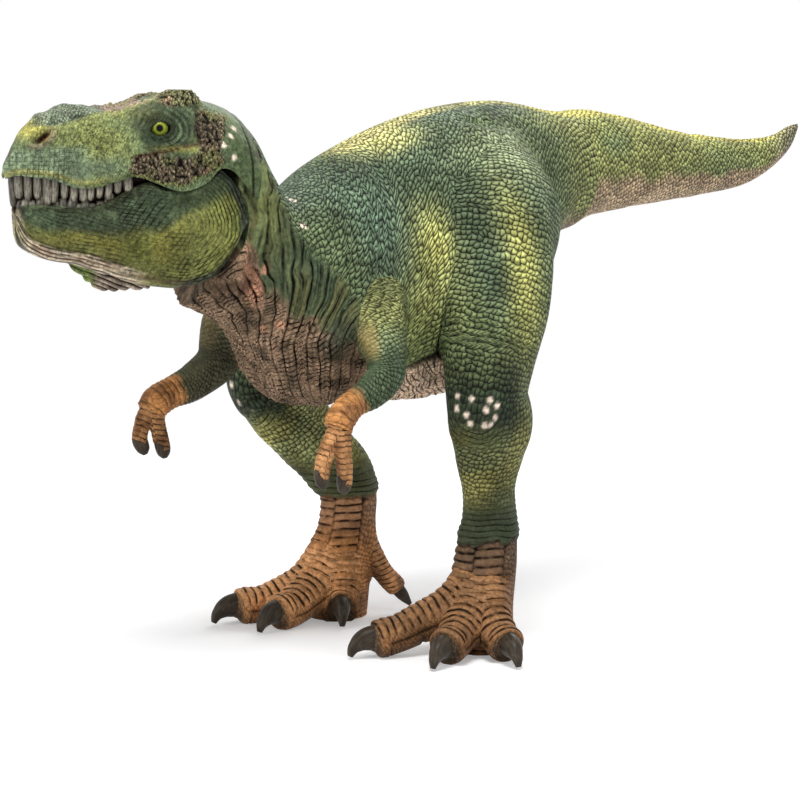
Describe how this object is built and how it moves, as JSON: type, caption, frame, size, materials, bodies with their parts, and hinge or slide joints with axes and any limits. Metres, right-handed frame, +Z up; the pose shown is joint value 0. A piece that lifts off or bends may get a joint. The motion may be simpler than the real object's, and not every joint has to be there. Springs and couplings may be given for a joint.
{
  "type": "toy dinosaur figure",
  "caption": "Standing toy figure of a big two-legged meat-eating dinosaur with pebbled hide, toothed jaws, small arms and a hinged lower jaw.",
  "frame": {"origin": "middle of the figure's box on the floor that its soles stand on", "axes": "+Z up, -Y the way the figure walks, +X its left side"},
  "size_m": [0.0894, 0.2674, 0.1376],
  "materials": {
    "hide": "painted vinyl, green with yellow-green flanks and brown-pink throat",
    "head_hide": "painted vinyl, blue-green with a yellow-green brow",
    "jaw_hide": "painted vinyl, olive with a dark upper band",
    "leg_hide": "painted vinyl, green thighs, olive shins and orange-brown feet",
    "steel": "bright drawn rod"
  },
  "bodies": {
    "figure": {"torso": "hide", "head": "head_hide", "jaw_pin": "steel", "tail": "hide", "left_leg": "leg_hide", "right_leg": "leg_hide", "left_arm": "hide", "right_arm": "hide"},
    "jaw": {"lower_jaw": "jaw_hide"}
  },
  "joints": [
    {"name": "jaw_open", "type": "hinge", "parent": "figure", "child": "jaw", "pos_m": [-0.00712, -0.0979, 0.108], "axis": [0.9511, -0.309, 0], "range_deg": [0, 18]}
  ]
}
